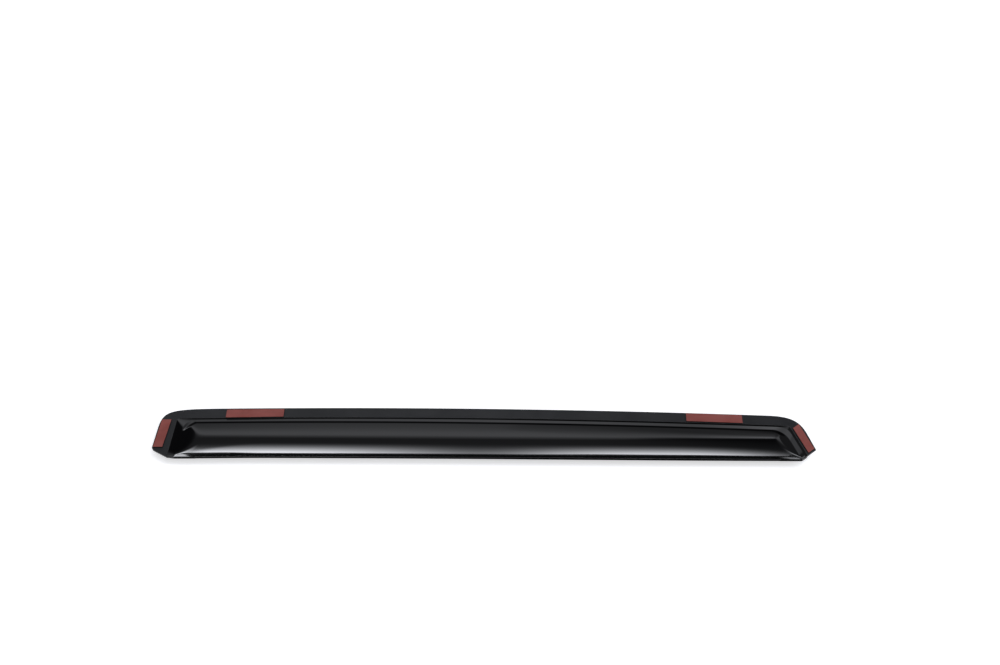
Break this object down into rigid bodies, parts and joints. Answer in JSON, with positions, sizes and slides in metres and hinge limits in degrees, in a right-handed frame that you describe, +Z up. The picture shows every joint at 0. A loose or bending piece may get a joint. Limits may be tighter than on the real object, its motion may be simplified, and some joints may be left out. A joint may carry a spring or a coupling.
{
  "type": "window rain deflector",
  "caption": "Slim glossy tinted-plastic visor for a rear side window: a shallow trough with a flat bonding flange round three sides, a stepped rim, and foam tape pads with release liners.",
  "frame": {"origin": "On the ground plane, under the middle of the box round the part as it lies on its outer face.", "axes": "+X along the length toward the end with the wide stepped leg, +Y across from the free edge to the flange's long side, +Z up, out of the side that is taped to the car."},
  "size_m": [0.7, 0.0668, 0.0118],
  "materials": {
    "moulding": "dark smoke-tinted acrylic, polished, nearly black in this thickness",
    "foam": "black closed-cell acrylic foam tape",
    "liner": "dull brick-red polyethylene release liner"
  },
  "bodies": {
    "root": {"deflector_body": "moulding", "left_end_tape": "foam", "left_end_liner": "liner", "top_left_tape": "foam", "top_left_liner": "liner", "top_right_tape": "foam", "top_right_liner": "liner", "right_end_tape": "foam", "right_end_liner": "liner"}
  },
  "joints": []
}
